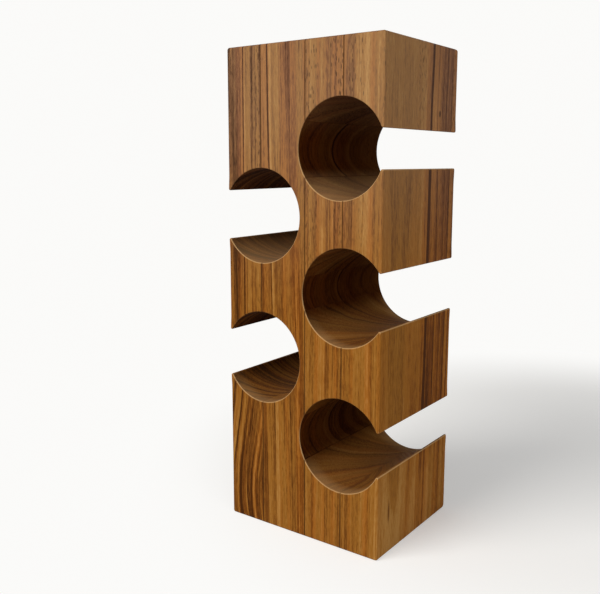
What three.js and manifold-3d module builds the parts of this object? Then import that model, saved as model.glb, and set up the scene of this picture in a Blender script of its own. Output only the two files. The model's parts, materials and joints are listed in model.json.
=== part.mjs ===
// A wine rack made from one upright wooden block. Four thick boards are glued face to face
// with their grain upright, the block is squared and its edges are eased, and five round
// bores run through it from front to back, in turn from the right and from the left.
// Each bore breaks out of its side through a mouth narrower than a bottle, so three of the
// boards are left as separate blocks that the glue lines hold to the unbroken spine board.
// Millimetres, +Z up, front face towards -Y, origin at the middle of the base.
import * as THREE from 'three';
import { mergeVertices } from 'three/addons/utils/BufferGeometryUtils.js';
import Module from 'manifold-3d';

// Boards glued across the width: the two outer ones, and the glue between two boards.
const LEFT_OUTER_BOARD = 43.7;
const RIGHT_OUTER_BOARD = 43;
const GLUE_LINE = 0.3;

// The spine board, left of the middle: its thinnest wood, behind the deepest left bore, and
// how far the shallowest right bore still cuts into it past the right inner board.
const SPINE_NECK = 6.5;
const SPINE_BITE = 2.9;

// Front face to back face.
const DEPTH = 150;

// Heights: the lowest bore's axis above the base, each next axis above the one before it,
// and the top face above the highest axis.
const LOWEST_RISE = 108;
const LOWER_LEFT_RISE = 76;
const MIDDLE_RIGHT_RISE = 72.5;
const UPPER_LEFT_RISE = 75;
const HIGHEST_RISE = 66;
const TOP_RISE = 102.5;

// Bores: one radius for all, and the clear height of each mouth between its rounded lips.
const BORE_RADIUS = 48;
const LOWEST_MOUTH = 44;
const LOWER_LEFT_MOUTH = 49;
const MIDDLE_RIGHT_MOUTH = 54.5;
const UPPER_LEFT_MOUTH = 50;
const HIGHEST_MOUTH = 37;

// Sanded edges: the block's outer edges, its two rounder back edges, the bores' rims on the
// front and back faces, and the lips of the mouths.
const EDGE_ROUND = 2.5;
const TOP_BACK_ROUND = 6;
const BASE_BACK_ROUND = 9;
const RIM_ROUND = 1.3;
const LIP_ROUND = 1.5;

// How finely round stretches are stepped.
const BORE_STEPS = 64;
const LIP_STEPS = 5;
const RIM_STEPS = 3;
const EDGE_STEPS = 4;

// How far a cutting shape runs past the wood that it cuts, and how far a bore's widened ends
// stand proud of the front and back faces, so that no film of wood is left there.
const OVERCUT = 5;
const SKIM = 0.02;

const wasm = await Module();
wasm.setup();

// Bores from the base up, with the height of each axis, where the middles of its lips'
// rounding lie from the axis, how far in from its own side the axis lies and how far in the
// bore reaches.
const bores = [
  { side: 'right', rise: LOWEST_RISE, mouth: LOWEST_MOUTH },
  { side: 'left', rise: LOWER_LEFT_RISE, mouth: LOWER_LEFT_MOUTH },
  { side: 'right', rise: MIDDLE_RIGHT_RISE, mouth: MIDDLE_RIGHT_MOUTH },
  { side: 'left', rise: UPPER_LEFT_RISE, mouth: UPPER_LEFT_MOUTH },
  { side: 'right', rise: HIGHEST_RISE, mouth: HIGHEST_MOUTH },
];
let axisHeight = 0;
for (const bore of bores) {
  axisHeight += bore.rise;
  bore.z = axisHeight;
  bore.lipUp = bore.mouth / 2 + LIP_ROUND;
  bore.lipAcross = Math.sqrt((BORE_RADIUS + LIP_ROUND) ** 2 - bore.lipUp ** 2);
  bore.inset = bore.lipAcross + LIP_ROUND;
  bore.reach = bore.inset + BORE_RADIUS;
}
const boresOn = (side) => bores.filter((bore) => bore.side === side);
const deepestLeft = Math.max(...boresOn('left').map((bore) => bore.reach));
const shallowestRight = Math.min(...boresOn('right').map((bore) => bore.reach));

// Overall height and width. The bores set the width, with the wood between their two rows.
const height = axisHeight + TOP_RISE;
const spineFace = deepestLeft + SPINE_NECK;
const width = spineFace + shallowestRight - SPINE_BITE;

// Boards with their faces, counted from the block's left side.
const rightOuterFace = width - RIGHT_OUTER_BOARD;
const boards = [
  { name: 'left_outer_board', side: 'left', from: 0, to: LEFT_OUTER_BOARD, color: 0x83532c },
  { name: 'spine_board', from: LEFT_OUTER_BOARD + GLUE_LINE, to: spineFace, color: 0x8d5a2e },
  {
    name: 'right_inner_board',
    side: 'right',
    from: spineFace + GLUE_LINE,
    to: rightOuterFace - GLUE_LINE,
    color: 0x8a5528,
  },
  { name: 'right_outer_board', side: 'right', from: rightOuterFace, to: width, color: 0x8c6136 },
];

// Turns a closed geometry into a solid that can be joined and cut.
function toSolid(geometry) {
  geometry.deleteAttribute('normal');
  geometry.deleteAttribute('uv');
  const welded = mergeVertices(geometry);
  const mesh = new wasm.Mesh({
    numProp: 3,
    vertProperties: welded.attributes.position.array,
    triVerts: Uint32Array.from(welded.index.array),
  });
  return new wasm.Manifold(mesh);
}

// Turns a solid back into a named mesh with its own wood material.
function toMesh(solid, name, color) {
  const { vertProperties, triVerts } = solid.getMesh();
  const geometry = new THREE.BufferGeometry();
  geometry.setAttribute('position', new THREE.BufferAttribute(vertProperties, 3));
  geometry.setIndex(new THREE.BufferAttribute(triVerts, 1));
  geometry.computeVertexNormals();
  const wood = new THREE.MeshStandardMaterial({ color, roughness: 0.5, metalness: 0 });
  const mesh = new THREE.Mesh(geometry, wood);
  mesh.name = name;
  return mesh;
}

// Points along an arc, from one angle to another.
function arcPoints(centre, radius, from, to, steps) {
  return new THREE.ArcCurve(centre.x, centre.y, radius, from, to, to < from).getPoints(steps);
}

// A rectangle with its own radius at each corner, anticlockwise from the lower left.
function roundedRectangle(low, high, rounds) {
  const middle = low.clone().add(high).divideScalar(2);
  const half = high.clone().sub(low).divideScalar(2);
  const signs = [[-1, -1], [1, -1], [1, 1], [-1, 1]];
  const points = signs.flatMap(([across, up], corner) => {
    const round = rounds[corner];
    const centre = new THREE.Vector2(across * (half.x - round), up * (half.y - round)).add(middle);
    const from = Math.PI * (1 + corner / 2);
    return arcPoints(centre, round, from, from + Math.PI / 2, EDGE_STEPS);
  });
  return new THREE.Shape(points);
}

// Extrudes a shape both ways from the origin, drawn on the plane of two axes of the block.
function extrudeMidway(shape, across, up, options) {
  const geometry = new THREE.ExtrudeGeometry(shape, { steps: 1, bevelEnabled: false, ...options });
  geometry.translate(0, 0, -options.depth / 2);
  const along = across.clone().cross(up);
  return geometry.applyMatrix4(new THREE.Matrix4().makeBasis(across, up, along));
}

const X = new THREE.Vector3(1, 0, 0);
const Y = new THREE.Vector3(0, 1, 0);
const Z = new THREE.Vector3(0, 0, 1);

// The squared block: what its plan, its front and its side have in common, so that each
// outline rounds the four edges that run along its own direction.
function squaredBlock() {
  const plan = roundedRectangle(
    new THREE.Vector2(-width / 2, -DEPTH / 2),
    new THREE.Vector2(width / 2, DEPTH / 2),
    [EDGE_ROUND, EDGE_ROUND, EDGE_ROUND, EDGE_ROUND],
  );
  const front = roundedRectangle(
    new THREE.Vector2(-width / 2, 0),
    new THREE.Vector2(width / 2, height),
    [EDGE_ROUND, EDGE_ROUND, EDGE_ROUND, EDGE_ROUND],
  );
  const side = roundedRectangle(
    new THREE.Vector2(-DEPTH / 2, 0),
    new THREE.Vector2(DEPTH / 2, height),
    [EDGE_ROUND, BASE_BACK_ROUND, TOP_BACK_ROUND, EDGE_ROUND],
  );
  const upright = toSolid(extrudeMidway(plan, X, Y, { depth: 2 * height + 2 * OVERCUT }));
  const deep = toSolid(extrudeMidway(front, X, Z, { depth: DEPTH + 2 * OVERCUT }));
  const wide = toSolid(extrudeMidway(side, Y, Z, { depth: width + 2 * OVERCUT }));
  return upright.intersect(deep).intersect(wide);
}

// The section of a bore in the front plane: a round hole that opens through a mouth in the
// side, where two small arcs round the lips between the hole and the side face.
function boreSection(bore) {
  const centre = new THREE.Vector2(width / 2 - bore.inset, bore.z);
  const lipAngle = Math.atan2(bore.lipUp, bore.lipAcross);
  const upperLip = new THREE.Vector2(bore.lipAcross, bore.lipUp).add(centre);
  const lowerLip = new THREE.Vector2(bore.lipAcross, -bore.lipUp).add(centre);
  const outside = width / 2 + OVERCUT;
  const points = [
    new THREE.Vector2(outside, upperLip.y),
    ...arcPoints(upperLip, LIP_ROUND, 0, lipAngle - Math.PI, LIP_STEPS),
    ...arcPoints(centre, BORE_RADIUS, lipAngle, 2 * Math.PI - lipAngle, BORE_STEPS).slice(1, -1),
    ...arcPoints(lowerLip, LIP_ROUND, Math.PI - lipAngle, 0, LIP_STEPS),
    new THREE.Vector2(outside, lowerLip.y),
  ];
  if (bore.side === 'left') {
    points.forEach((point) => point.setX(-point.x));
  }
  return new THREE.Shape(points);
}

// The wood that a bore takes out. It widens at both ends, which rounds the rims. The rims'
// rounding stays smaller than the lips', because it runs round the lips too.
function boreWaste(bore) {
  const rim = Math.min(RIM_ROUND, 0.9 * LIP_ROUND);
  const waste = extrudeMidway(boreSection(bore), X, Z, {
    depth: DEPTH + 2 * SKIM - 2 * rim,
    bevelEnabled: true,
    bevelThickness: rim,
    bevelSize: -rim,
    bevelOffset: rim,
    bevelSegments: RIM_STEPS,
  });
  return toSolid(waste);
}

// A stretch of one board, between two heights, as a plain box that runs past the faces.
function boardStretch(board, low, high) {
  const box = new THREE.BoxGeometry(board.to - board.from, DEPTH + 2 * OVERCUT, high - low);
  return toSolid(box.translate((board.from + board.to - width) / 2, 0, (low + high) / 2));
}

// Names of a board's blocks from the base up, by how many there are.
const BLOCK_NAMES = {
  1: [''],
  3: ['_bottom', '_middle', '_top'],
  4: ['_bottom', '_lower', '_upper', '_top'],
};

const rack = new THREE.Group();
const boredBlock = bores.reduce((block, bore) => block.subtract(boreWaste(bore)), squaredBlock());
for (const board of boards) {
  // A bore crosses the whole of a board of its own side, so the blocks part at its axis.
  const partings = boresOn(board.side).map((bore) => bore.z);
  const levels = [-OVERCUT, ...partings, height + OVERCUT];
  BLOCK_NAMES[levels.length - 1].forEach((ending, index) => {
    const stretch = boardStretch(board, levels[index], levels[index + 1]);
    rack.add(toMesh(boredBlock.intersect(stretch), board.name + ending, board.color));
  });
}

export default rack;
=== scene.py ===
"""Looks of a wooden wine rack: four glued boards, bored from front to back, in oiled solid wood.

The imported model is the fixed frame. Every block of wood is made again here with finer rounding
and a solid wood texture that runs through it, and rides on the frame in the node's own place.
"""

import json
import math

import bpy
from bpy.props import FloatProperty, FloatVectorProperty, IntProperty, PointerProperty
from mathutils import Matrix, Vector


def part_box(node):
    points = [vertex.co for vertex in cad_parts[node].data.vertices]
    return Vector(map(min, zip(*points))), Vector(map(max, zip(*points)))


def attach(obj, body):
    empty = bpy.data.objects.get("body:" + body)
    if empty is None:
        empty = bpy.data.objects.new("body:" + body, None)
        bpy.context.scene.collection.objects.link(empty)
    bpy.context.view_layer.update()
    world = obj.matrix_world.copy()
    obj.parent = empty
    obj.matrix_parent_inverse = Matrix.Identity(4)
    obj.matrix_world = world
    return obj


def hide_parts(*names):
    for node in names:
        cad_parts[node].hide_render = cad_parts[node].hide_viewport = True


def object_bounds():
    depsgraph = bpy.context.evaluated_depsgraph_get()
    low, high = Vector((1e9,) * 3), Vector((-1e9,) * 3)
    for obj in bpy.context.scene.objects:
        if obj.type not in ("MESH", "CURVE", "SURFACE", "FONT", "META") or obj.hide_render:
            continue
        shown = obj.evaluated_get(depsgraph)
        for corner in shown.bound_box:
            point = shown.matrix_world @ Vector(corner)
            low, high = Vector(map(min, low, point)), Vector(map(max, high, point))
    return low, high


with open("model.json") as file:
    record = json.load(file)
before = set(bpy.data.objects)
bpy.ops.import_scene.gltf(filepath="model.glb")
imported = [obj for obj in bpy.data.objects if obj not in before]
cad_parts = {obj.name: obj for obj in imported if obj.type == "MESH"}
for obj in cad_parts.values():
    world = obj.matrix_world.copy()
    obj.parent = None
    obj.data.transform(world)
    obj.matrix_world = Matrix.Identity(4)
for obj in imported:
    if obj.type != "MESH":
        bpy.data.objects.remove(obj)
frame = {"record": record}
CAD_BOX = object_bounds()

bl_info = {
    "name": "Wooden Wine Rack",
    "version": (1, 0, 0),
    "blender": (4, 5, 0),
    "location": "View3D > Sidebar > Wine Rack",
    "description": "Builds a glued and bored wooden wine rack on its packed frame",
    "category": "Object",
}

BODY = "root"
MM = 0.001

# Heights in metres between which the wood changes. Near the foot the heart fades and the wood is
# paler, partly with painted bounce light from the floor. Towards the top the wood has grown drier
# and faded, a painted sheen pales it, and the floors of the upper bores are lightened.
FOOT = (0.04, 0.14)
DRYING = (0.15, 0.45)
FADING = (0.22, 0.44)
SHEEN_HEIGHTS = (0.22, 0.46)
HIGHER_FLOOR_HEIGHTS = (0.20, 0.30)

# How far a surface faces upwards, from -1 to 1, where the ceiling of a bore ends, where the painted
# highlight on its rim starts to grow and where its floor begins. A ceiling takes less painted shade
# than the walls.
CEILING_SLOPE = (-0.9, -0.2)
RIM_SLOPE = (-0.35, 0.35)
FLOOR_SLOPE = (0.35, 1.0)

# Distances from the middle of the rack's depth between which the ends of a bore's floor take
# painted light.
FLOOR_ENDS = (0.050, 0.075)

# Share of the painted shade on a bore's walls that its lit floor is spared, the roughness that its
# matte walls add, and the stain at a glue joint with how much of it the bores' walls hide.
FLOOR_SHADE_LIFT = 0.9
RAW_ROUGHNESS = 0.45
GLUE_STAIN = 0.8
GLUE_HIDDEN = 0.70

# Width of one season's growth across the rings, and the depth and strength of the open grain.
SEASON = 7.4 * MM
GRAIN_DEPTH = 0.4 * MM
GRAIN_STRENGTH = 0.35

# How far the floor runs to each side, and the place and size of the two lamps.
FLOOR_REACH = 4.0
KEY_PLACE = (-1.10, -2.72, 2.45)
KEY_SIZE = 2.2
KEY_COLOR = (1.0, 0.98, 0.95)
FILL_PLACE = (2.45, -1.35, 1.05)
FILL_SIZE = 1.6

# Boards from left to right: the nodes that each is cut into, its material slot and how its tree
# grew, in metres, by the names of the wood's inputs. The pith is where the growth rings' centre
# lies in plan, and the lean is how far that centre wanders per metre of height. The dark ring is
# the radius of one season's dark line, and past the heart radius the wood grows darker. A pale
# foot lightens the wood beside that line near the base, partly as painted bounce light from the
# floor. At the swirl the rings bulge round a grown-over branch, of which a pin knot may show. The
# mark is the middle of a short dark streak.
BOARDS = {
    "left_outer": {
        "nodes": ["left_outer_board_bottom", "left_outer_board_middle", "left_outer_board_top"],
        "slot": "left_outer_wood",
        "trunk": {
            "Pith": (0.110, -0.240, 0.0),
            "Lean": (0.020, 0.030, 0.0),
            "Swirl": (-0.080, -0.075, 0.030),
            "Swirl Size": 0.058,
            "Swirl Lift": -0.017,
            "Dark Ring": 0.243,
            "Contrast": 1.15,
            "Seed": 3.1,
            "Tone Shift": -0.11,
        },
    },
    "spine": {
        "nodes": ["spine_board"],
        "slot": "spine_wood",
        "trunk": {
            "Pith": (-0.250, 0.100, 0.0),
            "Lean": (-0.010, 0.010, 0.0),
            "Swirl": (-0.030, 0.075, 0.300),
            "Swirl Size": 0.030,
            "Swirl Lift": 0.004,
            "Dark Ring": 0.280,
            "Contrast": 1.0,
            "Seed": 11.7,
            "Tone Shift": 0.07,
        },
    },
    "right_inner": {
        "nodes": [
            "right_inner_board_bottom",
            "right_inner_board_lower",
            "right_inner_board_upper",
            "right_inner_board_top",
        ],
        "slot": "right_inner_wood",
        "trunk": {
            "Pith": (0.320, -0.130, 0.0),
            "Lean": (0.008, 0.010, 0.0),
            "Swirl": (0.030, 0.075, 0.180),
            "Swirl Size": 0.030,
            "Swirl Lift": 0.004,
            "Dark Ring": 0.40,
            "Contrast": 0.75,
            "Seed": 23.9,
            "Tone Shift": 0.08,
        },
    },
    "right_outer": {
        "nodes": [
            "right_outer_board_bottom",
            "right_outer_board_lower",
            "right_outer_board_upper",
            "right_outer_board_top",
        ],
        "slot": "right_outer_wood",
        "trunk": {
            "Pith": (-0.037, -0.045, 0.0),
            "Lean": (0.004, 0.006, 0.0),
            "Swirl": (0.0925, 0.036, 0.433),
            "Swirl Size": 0.020,
            "Swirl Lift": 0.0015,
            "Knot Size": 0.0022,
            "Mark": (0.0925, -0.053, 0.043),
            "Mark Size": 0.0024,
            "Dark Ring": 0.1416,
            "Dark Width": 0.0008,
            "Heart Radius": 0.1416,
            "Pale Foot": 0.27,
            "Contrast": 0.75,
            "Seed": 37.3,
            "Tone Shift": 0.08,
        },
    },
}


class RackSizes(bpy.types.PropertyGroup):
    """Sizes that the finer blocks of wood add to the frame."""

    bore_radius: FloatProperty(
        name="Bore Radius",
        description="Radius of every bore",
        default=48 * MM,
        unit="LENGTH",
    )
    edge_round: FloatProperty(
        name="Edge Round",
        description="Rounding of the block's outer edges",
        default=2.4 * MM,
        unit="LENGTH",
    )
    rim_round: FloatProperty(
        name="Rim Round",
        description="Rounding of the bores' rims on the front and back faces",
        default=1.3 * MM,
        unit="LENGTH",
    )
    lip_round: FloatProperty(
        name="Lip Round",
        description="Rounding of the lips where a bore opens through a side",
        default=1.5 * MM,
        unit="LENGTH",
    )
    corner_round: FloatProperty(
        name="Corner Round",
        description="Rounding of the long top and base edges at the sides",
        default=2.6 * MM,
        unit="LENGTH",
    )
    top_back_round: FloatProperty(
        name="Top Back Round",
        description="Rounding of the top edge at the back",
        default=6 * MM,
        unit="LENGTH",
    )
    base_back_round: FloatProperty(
        name="Base Back Round",
        description="Rounding of the base edge at the back",
        default=9 * MM,
        unit="LENGTH",
    )
    hairline: FloatProperty(
        name="Hairline",
        description="Gap that stays open in a glue line",
        default=0.02 * MM,
        unit="LENGTH",
    )
    bore_steps: IntProperty(
        name="Bore Steps",
        description="Flats round a bore",
        default=160,
        min=16,
    )
    round_steps: IntProperty(
        name="Round Steps",
        description="Flats across a rounded edge",
        default=6,
        min=2,
    )


class WoodLooks(bpy.types.PropertyGroup):
    """Colours and finish of the oiled wood, with its painted sheen, shade, highlight and light."""

    line_color: FloatVectorProperty(
        name="Line Color",
        description="Dark lines between the growth rings",
        subtype="COLOR",
        default=(0.060, 0.020, 0.004),
    )
    red_color: FloatVectorProperty(
        name="Red Color",
        description="Red brown of the late wood",
        subtype="COLOR",
        default=(0.160, 0.055, 0.009),
    )
    gold_color: FloatVectorProperty(
        name="Gold Color",
        description="Golden brown of the early wood",
        subtype="COLOR",
        default=(0.285, 0.116, 0.018),
    )
    pale_color: FloatVectorProperty(
        name="Pale Color",
        description="Palest stripes",
        subtype="COLOR",
        default=(0.400, 0.200, 0.052),
    )
    # Painted sheen towards the top.
    upper_sheen_color: FloatVectorProperty(
        name="Upper Sheen Color",
        description="What the light has added to the wood towards the top, where it has bleached",
        subtype="COLOR",
        default=(0.016, 0.036, 0.040),
    )
    # Painted shade: this tint darkens the bores' walls far past the wood's own colour.
    bore_shade_tint: FloatVectorProperty(
        name="Bore Shade Tint",
        description="Tint of the bores' walls, whose open grain takes more oil",
        subtype="COLOR",
        default=(0.20, 0.135, 0.110),
    )
    # Painted highlight on the bores' rims and lips, and painted light on their floors.
    bore_light_color: FloatVectorProperty(
        name="Bore Light Color",
        description="Wood of the bores' rims, lips and floors where handling has rubbed it bare",
        subtype="COLOR",
        default=(0.56, 0.34, 0.15),
    )
    glue_color: FloatVectorProperty(
        name="Glue Color",
        description="Dark hairline of a glue joint",
        subtype="COLOR",
        default=(0.040, 0.016, 0.006),
    )
    roughness: FloatProperty(
        name="Roughness",
        description="Roughness of the rubbed oil finish",
        default=0.46,
        min=0.0,
        max=1.0,
    )
    gloss: FloatProperty(
        name="Gloss",
        description="Specular level of the rubbed oil finish",
        default=0.012,
        min=0.0,
        max=1.0,
    )
    glue_width: FloatProperty(
        name="Glue Width",
        description="Width of the stained wood beside a glue joint",
        default=0.8 * MM,
        unit="LENGTH",
    )


class StageLooks(bpy.types.PropertyGroup):
    """Floor, lamps and camera."""

    ground_color: FloatVectorProperty(
        name="Ground Color",
        description="Colour of the floor and of the ground behind the rack",
        subtype="COLOR",
        default=(0.965, 0.960, 0.945),
    )
    floor_share: FloatProperty(
        name="Floor Share",
        description="Share of the light that the floor gives back, which sets its shadow",
        default=0.85,
        min=0.0,
        max=1.0,
    )
    floor_fill: FloatProperty(
        name="Floor Fill",
        description="Plain brightness of the floor to the eye, on top of its own light",
        default=0.30,
    )
    shade_place: FloatVectorProperty(
        name="Shade Place",
        description="Middle of the stretch of floor behind the rack that keeps its shade",
        subtype="TRANSLATION",
        default=(0.18, 0.32, 0.0),
    )
    shade_reach: FloatProperty(
        name="Shade Reach",
        description="How far the floor keeps its full shade from there",
        default=0.27,
        unit="LENGTH",
    )
    ambient: FloatProperty(
        name="Ambient",
        description="Strength of the light from all round",
        default=0.18,
    )
    key_power: FloatProperty(
        name="Key Power",
        description="Power of the large lamp in front, a little to the left",
        default=107.0,
        unit="POWER",
    )
    fill_power: FloatProperty(
        name="Fill Power",
        description="Power of the lamp at the right",
        default=29.0,
        unit="POWER",
    )
    camera_place: FloatVectorProperty(
        name="Camera Place",
        description="Where the camera stands",
        subtype="TRANSLATION",
        default=(0.44117, -0.67775, 0.38481),
    )
    camera_look: FloatVectorProperty(
        name="Camera Look",
        description="Direction in which the camera looks",
        subtype="DIRECTION",
        default=(-0.58319, 0.79677, -0.15826),
    )
    camera_lens: FloatProperty(
        name="Camera Lens",
        description="Focal length in millimetres",
        default=45.75,
    )
    camera_shift: FloatProperty(
        name="Camera Shift",
        description="Upward shift of the frame, as a share of its width",
        default=-0.020,
    )


class Sketch:
    """Adds nodes to a tree and joins them. An input is a socket to link or a plain value."""

    def __init__(self, tree):
        self.tree = tree

    def node(self, kind, inputs=(), **settings):
        """A new node with its settings and inputs, which a dict names or numbers."""
        made = self.tree.nodes.new(kind)
        for key, value in settings.items():
            setattr(made, key, value)
        for key, value in dict(inputs).items():
            self.feed(made.inputs[key], value)
        return made

    def feed(self, socket, value):
        """Links a socket or sets its value."""
        if isinstance(value, bpy.types.NodeSocket):
            self.tree.links.new(value, socket)
        else:
            socket.default_value = value

    def math(self, operation, *values, clamp=False):
        """One number worked out from others."""
        made = self.node("ShaderNodeMath", enumerate(values), operation=operation, use_clamp=clamp)
        return made.outputs[0]

    def vector(self, operation, *values):
        """A vector, or a number such as a length, worked out from vectors."""
        made = self.node("ShaderNodeVectorMath", enumerate(values), operation=operation)
        numbers = ("LENGTH", "DISTANCE")
        return made.outputs["Value" if operation in numbers else "Vector"]

    def split(self, vector):
        """The x, y and z of a vector."""
        return self.node("ShaderNodeSeparateXYZ", {0: vector}).outputs

    def join(self, x, y, z):
        """A vector from its x, y and z."""
        return self.node("ShaderNodeCombineXYZ", {0: x, 1: y, 2: z}).outputs[0]

    def ease(self, value, low, high, start=0.0, end=1.0):
        """A smooth step from start to end as the value goes from low to high."""
        inputs = {"Value": value, "From Min": low, "From Max": high, "To Min": start, "To Max": end}
        made = self.node("ShaderNodeMapRange", inputs, interpolation_type="SMOOTHSTEP")
        return made.outputs["Result"]

    def noise(self, vector, detail, roughness=0.5):
        """Cloudy noise: its value and its colour."""
        inputs = {"Vector": vector, "Scale": 1.0, "Detail": detail, "Roughness": roughness}
        made = self.node("ShaderNodeTexNoise", inputs)
        return made.outputs[0], made.outputs[1]

    def mix(self, factor, first, second, blend="MIX"):
        """A mix of two colours."""
        made = self.node("ShaderNodeMix", data_type="RGBA", blend_type=blend)
        for key, value in zip(("Factor_Float", "A_Color", "B_Color"), (factor, first, second)):
            socket = next(s for s in made.inputs if s.identifier == key)
            self.feed(socket, value)
        return next(s for s in made.outputs if s.identifier == "Result_Color")

    def group(self, name, inputs):
        """A shared node group with its inputs, and what it gives out."""
        return self.node("ShaderNodeGroup", inputs, node_tree=bpy.data.node_groups[name]).outputs


def new_group(name, inputs, outputs, kind="ShaderNodeTree"):
    """An empty node group with named sockets: its sketch and what its inputs give.

    An input is the kind of its socket, or the number or vector that it starts from.
    """
    tree = bpy.data.node_groups.new(name, kind)
    for label, given in inputs.items():
        plain = isinstance(given, str)
        socket = given if plain else "Vector" if isinstance(given, tuple) else "Float"
        made = tree.interface.new_socket(name=label, in_out="INPUT", socket_type="NodeSocket" + socket)
        if not plain:
            made.default_value = given
    for label, socket in outputs.items():
        tree.interface.new_socket(name=label, in_out="OUTPUT", socket_type="NodeSocket" + socket)
    return Sketch(tree), tree.nodes.new("NodeGroupInput").outputs


def cleared(owner):
    """A sketch of the emptied node tree of a material or world."""
    owner.use_nodes = True
    owner.node_tree.nodes.clear()
    return Sketch(owner.node_tree)


def grain_warp_group():
    """Bends straight grain: slow waves along the trunk and smaller ripples on them."""
    sketch, given = new_group("Grain Warp", {"Vector": "Vector", "Seed": 0.0}, {"Vector": "Vector"})
    seeds = sketch.join(given["Seed"], given["Seed"], given["Seed"])
    bent = given["Vector"]
    slow, ripples = (13, 13, 1.9), (48, 48, 5.0)
    for scale, reach in ((slow, 6.5 * MM), (ripples, 2.6 * MM)):
        place = sketch.vector("MULTIPLY_ADD", given["Vector"], scale, seeds)
        color = sketch.noise(place, 2.0)[1]
        swing = sketch.vector("SUBTRACT", color, (0.5, 0.5, 0.5))
        bent = sketch.vector("MULTIPLY_ADD", swing, (reach, reach, 0.0), bent)
    sketch.node("NodeGroupOutput", {"Vector": bent})


def growth_rings_group():
    """Distance from the pith, which leans a little as it climbs, and the bulge at a swirl."""
    sketch, given = new_group(
        "Growth Rings",
        {
            "Vector": "Vector",
            "Pith": "Vector",
            "Lean": "Vector",
            "Swirl": "Vector",
            "Swirl Size": 0.02,
            "Swirl Lift": 0.0,
        },
        {"Radius": "Float", "Swirl Distance": "Float", "Bulge": "Float"},
    )
    height = sketch.split(given["Vector"])[2]
    heights = sketch.join(height, height, height)
    centre = sketch.vector("MULTIPLY_ADD", given["Lean"], heights, given["Pith"])
    away = sketch.vector("SUBTRACT", given["Vector"], centre)
    flat = sketch.vector("MULTIPLY", away, (1.0, 1.0, 0.0))
    offset = sketch.vector("SUBTRACT", given["Vector"], given["Swirl"])
    taller = (1.0, 1.0, 0.6)
    distance = sketch.vector("LENGTH", sketch.vector("MULTIPLY", offset, taller))
    share = sketch.math("DIVIDE", distance, given["Swirl Size"])
    left_over = 0.37
    bulge = sketch.math("POWER", left_over, sketch.math("MULTIPLY", share, share))
    radius = sketch.math("MULTIPLY_ADD", bulge, given["Swirl Lift"], sketch.vector("LENGTH", flat))
    sketch.node("NodeGroupOutput", {"Radius": radius, "Swirl Distance": distance, "Bulge": bulge})


def stripes_group():
    """Tone of the rings: broad bands, stripes and fine lines, late wood and dark streaks."""
    sketch, given = new_group(
        "Ring Stripes",
        {
            "Radius": 0.0,
            "Height": 0.0,
            "Seed": 0.0,
            "Dark Ring": 1.0,
            "Dark Width": 0.0004,
            "Heart Radius": 1.0,
            "Pale Foot": 0.0,
            "Contrast": 1.0,
        },
        {"Tone": "Float", "Red": "Float", "Dark Lines": "Float", "Pore Bands": "Float"},
    )

    def along(width, rate, offset, detail):
        """Noise by its width across the rings, its rate up the trunk, its seed and its detail."""
        across = sketch.math("DIVIDE", given["Radius"], width)
        up = sketch.math("MULTIPLY", given["Height"], rate)
        seed = sketch.math("ADD", given["Seed"], offset)
        return sketch.noise(sketch.join(across, up, seed), detail)[0]

    past_heart = sketch.math("SUBTRACT", given["Radius"], given["Heart Radius"])
    ripe = sketch.ease(given["Height"], *FOOT, 0.15, 1.0)
    heart = sketch.math("MULTIPLY", sketch.ease(past_heart, 0.0, 3 * MM), ripe)
    bands = along(0.016, 0.9, 0.0, 1.0)
    stripes = along(0.0060, 2.0, 7.0, 2.0)
    fine_lines = along(0.0019, 4.5, 13.0, 2.0)
    swings = 0.0
    for layer, weight in ((bands, 0.95), (stripes, 1.15), (fine_lines, 0.68)):
        swings = sketch.math("MULTIPLY_ADD", sketch.math("SUBTRACT", layer, 0.5), weight, swings)
    tone = sketch.math("MULTIPLY_ADD", swings, given["Contrast"], 0.5)
    tone = sketch.math("MULTIPLY_ADD", heart, -0.20, tone)
    turns = sketch.math("DIVIDE", given["Radius"], SEASON)
    phase = sketch.math("MULTIPLY_ADD", bands, 2.6, turns)
    sharpness = sketch.math("MULTIPLY_ADD", heart, -3.0, 6.0)
    late = sketch.math("POWER", sketch.math("FRACT", phase), sharpness)
    faded = sketch.ease(given["Height"], *FADING, 1.0, 0.5)
    late_share = sketch.math("MULTIPLY", sketch.math("MULTIPLY", given["Contrast"], -0.17), faded)
    late_share = sketch.math("MULTIPLY_ADD", heart, -0.30, late_share)
    tone = sketch.math("MULTIPLY_ADD", late, late_share, tone)
    streaks = sketch.ease(along(0.0064, 1.3, 29.0, 1.0), 0.63, 0.70)
    off_ring = sketch.math("ABSOLUTE", sketch.math("SUBTRACT", given["Radius"], given["Dark Ring"]))
    ring = sketch.ease(sketch.math("DIVIDE", off_ring, given["Dark Width"]), 1.0, 2.2, 1.0, 0.0)
    # Paler wood beside the dark ring near the foot, partly painted bounce light from the floor.
    foot_lift = sketch.math("MULTIPLY", sketch.math("SUBTRACT", 1.0, ripe), given["Pale Foot"])
    beside = sketch.ease(off_ring, 7 * MM, 15 * MM, 1.0, 0.0)
    tone = sketch.math("MULTIPLY_ADD", beside, foot_lift, tone)
    lines = sketch.math("MULTIPLY", streaks, sketch.math("MULTIPLY", faded, 0.5))
    lines = sketch.math("MAXIMUM", lines, sketch.math("MULTIPLY", ring, ripe))
    red = sketch.ease(along(0.0082, 1.1, 53.0, 1.0), 0.40, 0.64)
    red = sketch.math("MAXIMUM", red, heart)
    pore_bands = sketch.ease(along(0.013, 1.0, 41.0, 1.0), 0.47, 0.60)
    made = {"Tone": tone, "Red": red, "Dark Lines": lines, "Pore Bands": pore_bands}
    sketch.node("NodeGroupOutput", made)


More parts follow.
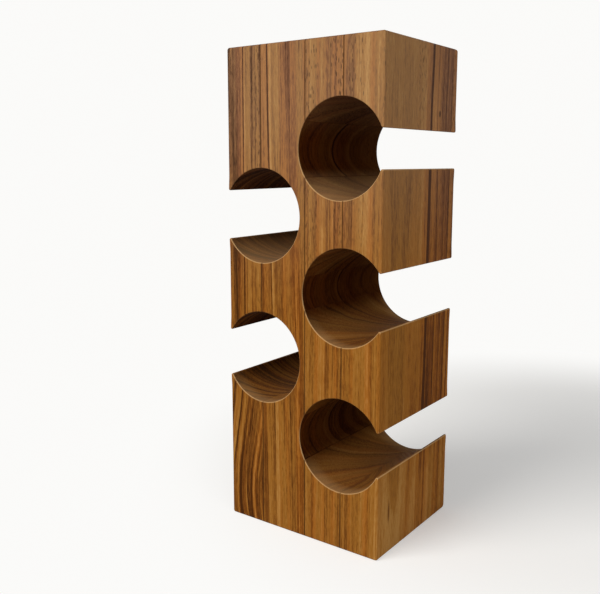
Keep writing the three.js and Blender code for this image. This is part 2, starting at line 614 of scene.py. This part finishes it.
def fibres_group():
    """Fine fibres along the trunk, short flecks, and open pores that show as dashes."""
    sketch, given = new_group(
        "Fibres and Pores",
        {"Vector": "Vector", "Seed": 0.0},
        {"Fibres": "Float", "Flecks": "Float", "Pores": "Float", "Fine Pores": "Float"},
    )
    seeds = sketch.join(given["Seed"], given["Seed"], given["Seed"])

    def place(scale):
        return sketch.vector("MULTIPLY_ADD", given["Vector"], scale, seeds)

    def pores(scale, inner, outer):
        cells = sketch.node("ShaderNodeTexVoronoi", {"Vector": place(scale), "Scale": 1.0})
        return sketch.ease(cells.outputs["Distance"], inner, outer, 1.0, 0.0)

    made = {
        "Fibres": sketch.noise(place((850, 850, 14)), 3.0, 0.68)[0],
        "Flecks": sketch.noise(place((620, 620, 90)), 3.0, 0.72)[0],
        "Pores": pores((480, 480, 125), 0.20, 0.36),
        "Fine Pores": pores((1150, 1150, 140), 0.14, 0.32),
    }
    sketch.node("NodeGroupOutput", made)


def solid_wood_group():
    """Oiled wood right through the block, from the trunk's rings, fibres and pores."""
    sketch, given = new_group(
        "Solid Wood",
        {
            "Vector": "Vector",
            "Normal": "Vector",
            "Pith": "Vector",
            "Lean": "Vector",
            "Swirl": "Vector",
            "Swirl Size": 0.02,
            "Swirl Lift": 0.0,
            "Knot Size": 0.0,
            "Mark": (0.0, 0.0, -1.0),
            "Mark Size": 0.0,
            "Dark Ring": 1.0,
            "Dark Width": 0.0004,
            "Heart Radius": 1.0,
            "Pale Foot": 0.0,
            "Contrast": 1.0,
            "Seed": 0.0,
            "Tone Shift": 0.0,
            "Line Color": "Color",
            "Red Color": "Color",
            "Gold Color": "Color",
            "Pale Color": "Color",
            "Roughness": 0.5,
        },
        {"Color": "Color", "Roughness": "Float", "Height": "Float"},
    )
    up = sketch.split(given["Vector"])[2]
    bent = sketch.group("Grain Warp", {"Vector": given["Vector"], "Seed": given["Seed"]})["Vector"]
    ring_keys = ("Pith", "Lean", "Swirl", "Swirl Size", "Swirl Lift")
    rings = sketch.group("Growth Rings", {"Vector": bent, **{key: given[key] for key in ring_keys}})
    swell = sketch.math("ADD", rings["Bulge"], 1.0)
    stripe_keys = ("Seed", "Dark Ring", "Dark Width", "Heart Radius", "Pale Foot")
    stripes = sketch.group(
        "Ring Stripes",
        {
            "Radius": rings["Radius"],
            "Height": up,
            "Contrast": sketch.math("MULTIPLY", given["Contrast"], swell),
            **{key: given[key] for key in stripe_keys},
        },
    )
    fibres = sketch.group("Fibres and Pores", {"Vector": bent, "Seed": given["Seed"]})

    swing = sketch.math("SUBTRACT", fibres["Fibres"], 0.5)
    fleck = sketch.math("SUBTRACT", fibres["Flecks"], 0.5)
    tone = sketch.math("ADD", stripes["Tone"], given["Tone Shift"])
    for part, share in ((swing, 0.60), (fleck, 0.80), (stripes["Dark Lines"], -0.55)):
        tone = sketch.math("MULTIPLY_ADD", part, share, tone)
    color = given["Line Color"]
    steps = {"Red Color": (0.02, 0.34), "Gold Color": (0.30, 0.60), "Pale Color": (0.58, 0.98)}
    for name, (low, high) in steps.items():
        color = sketch.mix(sketch.ease(tone, low, high), color, given[name])

    ruddy_tint = (1.05, 0.90, 0.78, 1.0)
    ruddy = sketch.mix(1.0, color, ruddy_tint, "MULTIPLY")
    color = sketch.mix(sketch.math("MULTIPLY", stripes["Red"], 0.9), color, ruddy)

    dry = sketch.ease(up, *DRYING, 0.35, 1.0)
    banded = sketch.math("MULTIPLY", fibres["Pores"], stripes["Pore Bands"])
    fine = sketch.math("MULTIPLY", fibres["Fine Pores"], 0.30)
    pores = sketch.math("ADD", sketch.math("MULTIPLY", banded, 0.7), fine, clamp=True)
    pores = sketch.math("MULTIPLY", pores, dry)
    color = sketch.mix(pores, color, given["Line Color"])
    core = sketch.math("SUBTRACT", rings["Swirl Distance"], given["Knot Size"])
    knot = sketch.ease(core, -0.8 * MM, 0.4 * MM, 0.85, 0.0)
    color = sketch.mix(knot, color, given["Line Color"])
    streak_shape = (1.0, 1.0, 0.18)
    off_mark = sketch.vector("SUBTRACT", given["Vector"], given["Mark"])
    off_mark = sketch.vector("MULTIPLY", off_mark, streak_shape)
    core = sketch.math("SUBTRACT", sketch.vector("LENGTH", off_mark), given["Mark Size"])
    mark = sketch.ease(core, -1.8 * MM, 0.6 * MM, 0.9, 0.0)
    color = sketch.mix(mark, color, sketch.mix(0.35, given["Red Color"], given["Line Color"]))

    upward = sketch.split(given["Normal"])[2]
    end_grain = sketch.math("MULTIPLY", upward, upward)
    end_tint = (0.80, 0.72, 0.66, 1.0)
    darkened = sketch.mix(1.0, color, end_tint, "MULTIPLY")
    color = sketch.mix(end_grain, color, darkened)

    dull = sketch.math("MULTIPLY_ADD", swing, 0.22, given["Roughness"])
    dull = sketch.math("MULTIPLY_ADD", pores, 0.25, dull)
    height = sketch.math("MULTIPLY_ADD", pores, -0.9, fibres["Fibres"])
    sketch.node("NodeGroupOutput", {"Color": color, "Roughness": dull, "Height": height})


def glue_seam_group():
    """How near a point lies to the glued faces of its board, measured along its surface."""
    sketch, given = new_group(
        "Glue Seam",
        {
            "Vector": "Vector",
            "Normal": "Vector",
            "Left Face": -1.0,
            "Right Face": 1.0,
            "Width": 0.0005,
        },
        {"Seam": "Float"},
    )
    across = sketch.split(given["Vector"])[0]
    left = sketch.math("SUBTRACT", across, given["Left Face"])
    right = sketch.math("SUBTRACT", given["Right Face"], across)
    nearest = sketch.math("MINIMUM", left, right)
    facing = sketch.split(given["Normal"])[0]
    turned = sketch.math("MULTIPLY", facing, -1.0)
    slope = sketch.math("SQRT", sketch.math("MULTIPLY_ADD", turned, facing, 1.0))
    least = 0.02 * MM
    wide = sketch.math("MULTIPLY_ADD", slope, given["Width"], least)
    share = sketch.math("DIVIDE", nearest, wide)
    sketch.node("NodeGroupOutput", {"Seam": sketch.ease(share, 0.25, 1.0, 1.0, 0.0)})


def eased_edge_group():
    """The rounded rims and lips of the bores, which take a painted highlight."""
    sketch, given = new_group(
        "Eased Edge",
        {"Normal": "Vector", "Wall": 0.0, "Rim": 0.0},
        {"Edge": "Float"},
    )
    squares = sketch.split(sketch.vector("MULTIPLY", given["Normal"], given["Normal"]))
    rim = sketch.math("MULTIPLY", squares[1], sketch.math("SUBTRACT", 1.0, squares[1]))
    lip = sketch.math("MULTIPLY", squares[0], squares[2])
    lip = sketch.math("MULTIPLY", lip, sketch.math("SUBTRACT", 1.0, given["Wall"]))
    edge = sketch.math("MULTIPLY", sketch.math("ADD", rim, lip), 4.0, clamp=True)
    sketch.node("NodeGroupOutput", {"Edge": sketch.math("MULTIPLY", edge, given["Rim"])})


def bored_wall_group(count):
    """Where a surface is the wall or the rim of a bore, by its distance from the nearest axis."""
    names = [f"Axis {number + 1}" for number in range(count)]
    sketch, given = new_group(
        "Bored Wall",
        {"Vector": "Vector", "Radius": 0.05, **dict.fromkeys(names, "Vector")},
        {"Wall": "Float", "Rim": "Float"},
    )
    flat = sketch.vector("MULTIPLY", given["Vector"], (1.0, 0.0, 1.0))
    nearest = 1.0
    for name in names:
        nearest = sketch.math("MINIMUM", sketch.vector("DISTANCE", flat, given[name]), nearest)
    beyond = sketch.math("SUBTRACT", nearest, given["Radius"])
    wall = sketch.ease(beyond, 0.15 * MM, 0.55 * MM, 1.0, 0.0)
    rim = sketch.ease(beyond, 2.4 * MM, 3.2 * MM, 1.0, 0.0)
    sketch.node("NodeGroupOutput", {"Wall": wall, "Rim": rim})


def shared_groups():
    """Makes the shader groups once, the inner ones first."""
    makers = (
        ("Grain Warp", grain_warp_group),
        ("Growth Rings", growth_rings_group),
        ("Ring Stripes", stripes_group),
        ("Fibres and Pores", fibres_group),
        ("Solid Wood", solid_wood_group),
        ("Glue Seam", glue_seam_group),
        ("Eased Edge", eased_edge_group),
    )
    for name, maker in makers:
        if name not in bpy.data.node_groups:
            maker()
    if "Bored Wall" not in bpy.data.node_groups:
        bored_wall_group(len(bore_axes()))


def glued_faces(facts, looks):
    """The faces of a board that are glued to its neighbours, by the names of the seam's inputs."""
    low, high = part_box(facts["nodes"][0])
    faces = {}
    if low.x > CAD_BOX[0].x + looks.glue_width:
        faces["Left Face"] = low.x
    if high.x < CAD_BOX[1].x - looks.glue_width:
        faces["Right Face"] = high.x
    return faces


def finished_color(sketch, plain, surface, masks, looks):
    """The wood's colour with painted sheen towards the top, painted shade in the bores, painted highlights
    on their rims and painted light on their floors, and glue, with the mask of the shaded matte walls.
    """
    wall, edge, seam = masks
    place = sketch.split(surface["Vector"])
    upward = sketch.split(surface["Normal"])[2]
    # Painted sheen: a pale veil added towards the top, more on the lighter wood.
    light = sketch.ease(sketch.split(plain)[0], 0.06, 0.22, 0.4, 1.0)
    bleached = sketch.math("MULTIPLY", sketch.ease(place[2], *SHEEN_HEIGHTS), light)
    color = sketch.mix(bleached, plain, (*looks.upper_sheen_color, 1.0), "ADD")

    # Painted shade inside the bores: the walls take the shade tint, a ceiling less and a lit floor hardly at
    # all. The same mask makes the walls matte.
    bore_floor = sketch.math("MULTIPLY", wall, sketch.ease(upward, *FLOOR_SLOPE))
    shaded_matte_wall = sketch.math("MULTIPLY_ADD", bore_floor, -FLOOR_SHADE_LIFT, wall)
    shaded_matte_wall = sketch.math("MULTIPLY", shaded_matte_wall, sketch.ease(upward, *CEILING_SLOPE, 0.76, 1.0))
    darkened = sketch.mix(1.0, plain, (*looks.bore_shade_tint, 1.0), "MULTIPLY")
    color = sketch.mix(shaded_matte_wall, color, darkened)

    # Painted highlight on the rims and lips, strongest where they face upwards, and painted light on the
    # bores' floors near their ends; the floors of the higher bores are lightened too.
    rubbed = sketch.math("MULTIPLY", edge, sketch.ease(upward, *RIM_SLOPE, 0.06, 0.75))
    higher_floor_lift = sketch.ease(place[2], *HIGHER_FLOOR_HEIGHTS, 0.05, 0.30)
    end_reach = sketch.math("ABSOLUTE", place[1])
    floor_lift = sketch.math("MAXIMUM", higher_floor_lift, sketch.ease(end_reach, *FLOOR_ENDS, 0.0, 0.34))
    rubbed = sketch.math("MAXIMUM", rubbed, sketch.math("MULTIPLY", bore_floor, floor_lift))
    color = sketch.mix(rubbed, color, (*looks.bore_light_color, 1.0))

    stain = sketch.math("MULTIPLY_ADD", wall, -GLUE_HIDDEN, GLUE_STAIN)
    stain = sketch.math("MULTIPLY", seam, stain)
    return sketch.mix(stain, color, (*looks.glue_color, 1.0)), shaded_matte_wall


def wood_material(board, sizes, looks):
    """Oiled wood of one board, with its own trunk and its own glued faces."""
    shared_groups()
    facts = BOARDS[board]
    material = bpy.data.materials.new(facts["slot"])
    sketch = cleared(material)
    coordinates = sketch.node("ShaderNodeTexCoord").outputs
    surface = {"Vector": coordinates["Object"], "Normal": coordinates["Normal"]}
    colors = {
        "Line Color": (*looks.line_color, 1.0),
        "Red Color": (*looks.red_color, 1.0),
        "Gold Color": (*looks.gold_color, 1.0),
        "Pale Color": (*looks.pale_color, 1.0),
    }
    trunk = {**surface, **facts["trunk"], **colors, "Roughness": looks.roughness}
    wood = sketch.group("Solid Wood", trunk)
    faces = glued_faces(facts, looks)
    seam = sketch.group("Glue Seam", {**surface, "Width": looks.glue_width, **faces})["Seam"]
    bores = {"Vector": surface["Vector"], "Radius": sizes.bore_radius}
    for number, (x, z) in enumerate(bore_axes()):
        bores[f"Axis {number + 1}"] = (x, 0.0, z)
    bored = sketch.group("Bored Wall", bores)
    rims = {"Normal": surface["Normal"], "Wall": bored["Wall"], "Rim": bored["Rim"]}
    edge = sketch.group("Eased Edge", rims)["Edge"]

    masks = (bored["Wall"], edge, seam)
    color, shaded_matte_wall = finished_color(sketch, wood["Color"], surface, masks, looks)
    rough = sketch.math("MULTIPLY_ADD", shaded_matte_wall, RAW_ROUGHNESS, wood["Roughness"], clamp=True)
    grain = {"Height": wood["Height"], "Strength": GRAIN_STRENGTH, "Distance": GRAIN_DEPTH}
    bump = sketch.node("ShaderNodeBump", grain)
    shader = sketch.node(
        "ShaderNodeBsdfPrincipled",
        {
            "Base Color": color,
            "Roughness": rough,
            "Normal": bump.outputs["Normal"],
            "Specular IOR Level": looks.gloss,
        },
    )
    sketch.node("ShaderNodeOutputMaterial", {"Surface": shader.outputs["BSDF"]})
    return material


def bore_axes():
    """Axis of each bore as (x, z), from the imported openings."""
    openings = frame["record"]["physics"]["openings"]
    boxes = [opening["box_m"] for opening in openings if opening["name"].endswith("_bore_wide")]
    return [((low[0] + high[0]) / 2, (low[2] + high[2]) / 2) for low, high in boxes]


def arc(centre, radius, start, end, steps):
    """Points along an arc, both ends included."""
    turn = (end - start) / steps
    angles = [start + turn * step for step in range(steps + 1)]
    return [Vector((centre[0] + radius * math.cos(a), centre[1] + radius * math.sin(a))) for a in angles]


def notch(axis, side, sizes):
    """Outline of a bore that opens to the right side, from its lower lip to its upper one."""
    radius, lip = sizes.bore_radius, sizes.lip_round
    across = side - lip - axis[0]
    up = math.sqrt((radius + lip) ** 2 - across ** 2)
    angle = math.atan2(up, across)
    steps = sizes.round_steps
    lower = arc((side - lip, axis[1] - up), lip, 0.0, math.pi - angle, steps)
    round_hole = arc(axis, radius, 2 * math.pi - angle, angle, sizes.bore_steps)
    upper = arc((side - lip, axis[1] + up), lip, math.pi + angle, 2 * math.pi, steps)
    return [(point, sizes.rim_round) for point in lower + round_hole[1:-1] + upper]


def straight(side, start, end, sizes):
    """Points of a side's outline between two heights, where the rims' rounding grows to the edges'."""
    points = []
    blend = 6 * sizes.edge_round
    steps = 6 * sizes.round_steps
    for step in range(1, steps):
        height = start[0].y + (end[0].y - start[0].y) * step / steps
        near = min((abs(height - other.y), rounding) for other, rounding in (start, end))
        share = min(near[0] / blend, 1.0)
        share *= share * (3 - 2 * share)
        points.append((Vector((side, height)), near[1] + (sizes.edge_round - near[1]) * share))
    return points


def side_path(axes, corners, sizes):
    """Outline of the right side from its base corner to its top one, past the bores."""
    side = CAD_BOX[1].x
    path = list(corners[0])
    for part in [notch(axis, side, sizes) for axis in axes] + [corners[1]]:
        path += straight(side, path[-1], part[0], sizes) + part
    return path


def front_outline(sizes):
    """Outline of the whole rack from the front, anticlockwise, with its edges' rounding."""
    low, high = CAD_BOX
    corner, quarter = sizes.corner_round, math.pi / 2
    corners = []
    for height, start in ((low.z + corner, 3 * quarter), (high.z - corner, 0.0)):
        points = arc((high.x - corner, height), corner, start, start + quarter, sizes.round_steps)
        corners.append([(point, sizes.edge_round) for point in points])
    axes = sorted(bore_axes(), key=lambda axis: axis[1])
    right = side_path([axis for axis in axes if axis[0] > 0], corners, sizes)
    left = side_path([(-axis[0], axis[1]) for axis in axes if axis[0] < 0], corners, sizes)
    return right + [(Vector((-point.x, point.y)), rounding) for point, rounding in reversed(left)]


def drawn_in(outline, share):
    """The outline's points moved inwards by a share of their rounding, with mitred corners."""
    moved = []
    for index, (point, rounding) in enumerate(outline):
        before = (point - outline[index - 1][0]).normalized()
        after = (outline[(index + 1) % len(outline)][0] - point).normalized()
        first, second = Vector((before.y, -before.x)), Vector((after.y, -after.x))
        moved.append(point - (first + second) * rounding * share / (1 + first.dot(second)))
    return moved


def lofted(name, loops):
    """A closed mesh through loops of as many points each, with flat ends."""
    count = len(loops[0])
    points = [point for loop in loops for point in loop]
    faces = [tuple(range(count)), tuple(reversed(range(len(points) - count, len(points))))]
    for row in range(len(loops) - 1):
        for index in range(count):
            a = row * count + index
            b = row * count + (index + 1) % count
            faces.append((b, a, a + count, b + count))
    mesh = bpy.data.meshes.new(name)
    mesh.from_pydata(points, [], faces)
    mesh.validate()
    obj = bpy.data.objects.new(name, mesh)
    bpy.context.scene.collection.objects.link(obj)
    return obj


def bored_block(sizes):
    """The whole rack in one piece, its rims and front and back edges rounded."""
    outline = front_outline(sizes)
    angles = [math.pi / 2 * step / sizes.round_steps for step in range(sizes.round_steps + 1)]
    rows = [(-1, angle) for angle in angles] + [(1, angle) for angle in reversed(angles)]
    loops = []
    for facing, angle in rows:
        points = drawn_in(outline, 1 - math.sin(angle))
        depths = [CAD_BOX[1].y - rounding * (1 - math.cos(angle)) for point, rounding in outline]
        loops.append([(point.x, facing * depth, point.y) for point, depth in zip(points, depths)])
    return lofted("bored_block", loops)


def side_profile(sizes):
    """A slab with the rack's rounded back edges, wider than the rack, seen from the side."""
    low, high = CAD_BOX
    past = 10 * MM
    proud = 0.01 * MM
    steps = 2 * sizes.round_steps
    top, base = sizes.top_back_round, sizes.base_back_round
    back = high.y + proud
    outline = [Vector((low.y - past, high.z + proud)), Vector((low.y - past, low.z - proud))]
    outline += arc((back - base, low.z - proud + base), base, 1.5 * math.pi, 2 * math.pi, steps)
    outline += arc((back - top, high.z + proud - top), top, 0.0, 0.5 * math.pi, steps)
    loops = [[(x, point.x, point.y) for point in outline] for x in (low.x - past, high.x + past)]
    return lofted("side_profile", loops)


def block_tree():
    """Geometry nodes that cut one block of a board out of the bored rack."""
    sketch, given = new_group(
        "Board Block",
        {
            "Bored Block": "Object",
            "Side Profile": "Object",
            "Low Corner": "Vector",
            "High Corner": "Vector",
            "Sharp Angle": 0.7,
            "Material": "Material",
        },
        {"Geometry": "Geometry"},
        "GeometryNodeTree",
    )
    size = sketch.vector("SUBTRACT", given["High Corner"], given["Low Corner"])
    middle = sketch.vector("MULTIPLY_ADD", size, (0.5, 0.5, 0.5), given["Low Corner"])
    cube = sketch.node("GeometryNodeMeshCube", {"Size": size})
    stretch = sketch.node("GeometryNodeTransform", {"Geometry": cube.outputs["Mesh"], "Translation": middle})
    shared = sketch.node("GeometryNodeMeshBoolean", operation="INTERSECT", solver="MANIFOLD")
    for key in ("Bored Block", "Side Profile"):
        source = sketch.node("GeometryNodeObjectInfo", {"Object": given[key]})
        sketch.feed(shared.inputs["Mesh 2"], source.outputs["Geometry"])
    sketch.feed(shared.inputs["Mesh 2"], stretch.outputs["Geometry"])
    merged = sketch.node(
        "GeometryNodeMergeByDistance",
        {"Geometry": shared.outputs["Mesh"], "Distance": 0.002 * MM},
    )
    smooth = sketch.node("GeometryNodeSetShadeSmooth", {"Geometry": merged.outputs["Geometry"]})
    angle = sketch.node("GeometryNodeInputMeshEdgeAngle").outputs["Unsigned Angle"]
    sharp = sketch.node("FunctionNodeCompare", {0: angle, 1: given["Sharp Angle"]}, operation="GREATER_THAN")
    creased = sketch.node(
        "GeometryNodeSetShadeSmooth",
        {
            "Geometry": smooth.outputs["Geometry"],
            "Selection": sharp.outputs["Result"],
            "Shade Smooth": False,
        },
        domain="EDGE",
    )
    real = sketch.node("GeometryNodeRealizeInstances", {"Geometry": creased.outputs["Geometry"]})
    finished = sketch.node(
        "GeometryNodeSetMaterial",
        {"Geometry": real.outputs["Geometry"], "Material": given["Material"]},
    )
    sketch.node("NodeGroupOutput", {"Geometry": finished.outputs["Geometry"]})
    return sketch.tree


def run_tree(obj, tree, values):
    """Runs geometry nodes on an object and keeps the result as its plain mesh."""
    modifier = obj.modifiers.new(tree.name, "NODES")
    modifier.node_group = tree
    for item in tree.interface.items_tree:
        if item.in_out == "INPUT":
            modifier[item.identifier] = values.get(item.name, getattr(item, "default_value", None))
    depsgraph = bpy.context.evaluated_depsgraph_get()
    mesh = bpy.data.meshes.new_from_object(obj.evaluated_get(depsgraph), depsgraph=depsgraph)
    obj.modifiers.remove(modifier)
    obj.data = mesh


def make_board(board, sizes, looks):
    """Makes a board's blocks, each in the place of its own node."""
    facts = BOARDS[board]
    material = wood_material(board, sizes, looks)
    tree = bpy.data.node_groups.get("Board Block") or block_tree()
    helpers = [bored_block(sizes), side_profile(sizes)]
    low_glue, high_glue = glue_growth(facts["nodes"][0], sizes)
    for node in facts["nodes"]:
        low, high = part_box(node)
        values = {
            "Bored Block": helpers[0],
            "Side Profile": helpers[1],
            "Low Corner": low - Vector((low_glue, MM, MM)),
            "High Corner": high + Vector((high_glue, MM, MM)),
            "Material": material,
        }
        piece = bpy.data.objects.new(node + "_wood", bpy.data.meshes.new(node))
        bpy.context.scene.collection.objects.link(piece)
        run_tree(piece, tree, values)
        if not piece.data.polygons:
            raise RuntimeError(f"{node}: the cut left no wood")
        even = piece.modifiers.new("even_shading", "WEIGHTED_NORMAL")
        even.keep_sharp = True
        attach(piece, BODY)
        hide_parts(node)
    for helper in helpers:
        mesh = helper.data
        bpy.data.objects.remove(helper)
        bpy.data.meshes.remove(mesh)


def glue_growth(node, sizes):
    """How far a board grows to the left and right to close its glue lines to a hairline."""
    faces = sorted(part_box(facts["nodes"][0])[end].x for facts in BOARDS.values() for end in (0, 1))
    growth = []
    for face, step in zip((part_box(node)[0].x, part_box(node)[1].x), (-1, 1)):
        place = faces.index(face) + step
        gap = abs(faces[place] - face) if 0 <= place < len(faces) else 0.0
        growth.append(max(gap - sizes.hairline, 0.0) / 2)
    return growth


def white_rays(sketch):
    """One where a ray from the camera, a reflection or a view through glass lands."""
    rays = sketch.node("ShaderNodeLightPath").outputs
    seen = sketch.math("ADD", rays["Is Camera Ray"], rays["Is Glossy Ray"])
    return sketch.math("ADD", seen, rays["Is Transmission Ray"], clamp=True)


def floor_material(looks):
    """Pale floor that keeps the shadow near the rack and fades into the ground behind."""
    material = bpy.data.materials.new("pale_floor")
    sketch = cleared(material)
    color = (*looks.ground_color, 1.0)
    place = sketch.node("ShaderNodeTexCoord").outputs["Object"]
    white = white_rays(sketch)
    shade_end = 2.2 * looks.shade_reach
    far = sketch.vector("DISTANCE", place, looks.shade_place)
    far = sketch.ease(far, looks.shade_reach, shade_end)
    fade = sketch.math("MULTIPLY", far, white)
    shares = [looks.floor_share * share for share in looks.ground_color]
    matt = sketch.node("ShaderNodeBsdfDiffuse", {"Color": (*shares, 1.0)})
    seen = sketch.math("MULTIPLY", white, looks.floor_fill)
    fill = sketch.node("ShaderNodeEmission", {"Color": color, "Strength": seen})
    near = sketch.node("ShaderNodeAddShader", {0: matt.outputs[0], 1: fill.outputs[0]})
    plain = sketch.node("ShaderNodeEmission", {"Color": color, "Strength": 1.0})
    mixed = sketch.node("ShaderNodeMixShader", {0: fade, 1: near.outputs[0], 2: plain.outputs[0]})
    sketch.node("ShaderNodeOutputMaterial", {"Surface": mixed.outputs[0]})
    return material


def make_floor(looks):
    """A wide plain floor under the rack."""
    reach = FLOOR_REACH
    mesh = bpy.data.meshes.new("floor")
    corners = [(x * reach, y * reach, CAD_BOX[0].z) for x, y in ((-1, -1), (1, -1), (1, 1), (-1, 1))]
    mesh.from_pydata(corners, [], [(0, 1, 2, 3)])
    mesh.materials.append(floor_material(looks))
    floor = bpy.data.objects.new("floor", mesh)
    bpy.context.scene.collection.objects.link(floor)


def make_world(looks):
    """Even light from all round, with the ground's own colour where the world is seen."""
    world = bpy.data.worlds.new("studio")
    bpy.context.scene.world = world
    sketch = cleared(world)
    light = sketch.node("ShaderNodeBackground", {"Color": (1.0, 1.0, 1.0, 1.0), "Strength": looks.ambient})
    ground = sketch.node("ShaderNodeBackground", {"Color": (*looks.ground_color, 1.0), "Strength": 1.0})
    mixed = sketch.node(
        "ShaderNodeMixShader",
        {0: white_rays(sketch), 1: light.outputs[0], 2: ground.outputs[0]},
    )
    sketch.node("ShaderNodeOutputWorld", {"Surface": mixed.outputs[0]})


def make_lamp(name, place, size, power, color=(1.0, 1.0, 1.0)):
    """A square lamp that faces the middle of the rack."""
    data = bpy.data.lights.new(name, "AREA")
    data.shape = "SQUARE"
    data.size = size
    data.energy = power
    data.color = color
    lamp = bpy.data.objects.new(name, data)
    lamp.location = place
    middle = (CAD_BOX[0] + CAD_BOX[1]) / 2
    lamp.rotation_euler = (middle - Vector(place)).to_track_quat("-Z", "Y").to_euler()
    bpy.context.scene.collection.objects.link(lamp)


def make_camera(looks):
    """The camera, at the viewing angle from which the rack is shown."""
    data = bpy.data.cameras.new("camera")
    data.sensor_fit = "AUTO"
    data.sensor_width = 36.0
    data.lens = looks.camera_lens
    data.shift_y = looks.camera_shift
    camera = bpy.data.objects.new("camera", data)
    camera.location = looks.camera_place
    camera.rotation_euler = Vector(looks.camera_look).to_track_quat("-Z", "Y").to_euler()
    bpy.context.scene.collection.objects.link(camera)
    bpy.context.scene.camera = camera


class BoardMaker:
    """What the four board operators share."""

    bl_options = {"REGISTER", "UNDO"}
    board = ""

    def execute(self, context):
        make_board(self.board, context.scene.rack_sizes, context.scene.rack_wood)
        return {"FINISHED"}


class RACK_OT_left_outer_board(BoardMaker, bpy.types.Operator):
    """Make the three blocks of the left outer board"""

    bl_idname = "rack.left_outer_board"
    bl_label = "Left Outer Board"
    board = "left_outer"


class RACK_OT_spine_board(BoardMaker, bpy.types.Operator):
    """Make the spine board, the one that runs unbroken from base to top"""

    bl_idname = "rack.spine_board"
    bl_label = "Spine Board"
    board = "spine"


class RACK_OT_right_inner_board(BoardMaker, bpy.types.Operator):
    """Make the four blocks of the right inner board"""

    bl_idname = "rack.right_inner_board"
    bl_label = "Right Inner Board"
    board = "right_inner"


class RACK_OT_right_outer_board(BoardMaker, bpy.types.Operator):
    """Make the four blocks of the right outer board"""

    bl_idname = "rack.right_outer_board"
    bl_label = "Right Outer Board"
    board = "right_outer"


class RACK_OT_stage(bpy.types.Operator):
    """Make the floor, the light and the camera"""

    bl_idname = "rack.stage"
    bl_label = "Stage"
    bl_options = {"REGISTER", "UNDO"}

    def execute(self, context):
        looks = context.scene.rack_stage
        make_floor(looks)
        make_world(looks)
        make_lamp("key", KEY_PLACE, KEY_SIZE, looks.key_power, KEY_COLOR)
        make_lamp("fill", FILL_PLACE, FILL_SIZE, looks.fill_power)
        make_camera(looks)
        context.scene.view_settings.view_transform = "Standard"
        return {"FINISHED"}


OPERATORS = (
    RACK_OT_left_outer_board,
    RACK_OT_spine_board,
    RACK_OT_right_inner_board,
    RACK_OT_right_outer_board,
    RACK_OT_stage,
)


class RACK_PT_sidebar(bpy.types.Panel):
    """Lists what the rack is made of"""

    bl_idname = "RACK_PT_sidebar"
    bl_label = "Wine Rack"
    bl_space_type = "VIEW_3D"
    bl_region_type = "UI"
    bl_category = "Wine Rack"

    def draw(self, context):
        for operator in OPERATORS:
            self.layout.operator(operator.bl_idname)
        for group in (context.scene.rack_sizes, context.scene.rack_wood, context.scene.rack_stage):
            box = self.layout.box()
            for name in group.__annotations__:
                box.prop(group, name)


CLASSES = (RackSizes, WoodLooks, StageLooks, *OPERATORS, RACK_PT_sidebar)


def register():
    for cls in CLASSES:
        bpy.utils.register_class(cls)
    bpy.types.Scene.rack_sizes = PointerProperty(type=RackSizes)
    bpy.types.Scene.rack_wood = PointerProperty(type=WoodLooks)
    bpy.types.Scene.rack_stage = PointerProperty(type=StageLooks)


def unregister():
    del bpy.types.Scene.rack_stage
    del bpy.types.Scene.rack_wood
    del bpy.types.Scene.rack_sizes
    for cls in reversed(CLASSES):
        bpy.utils.unregister_class(cls)


def main():
    register()
    bpy.ops.rack.left_outer_board()
    bpy.ops.rack.spine_board()
    bpy.ops.rack.right_inner_board()
    bpy.ops.rack.right_outer_board()
    bpy.ops.rack.stage()


if __name__ == "__main__":
    main()
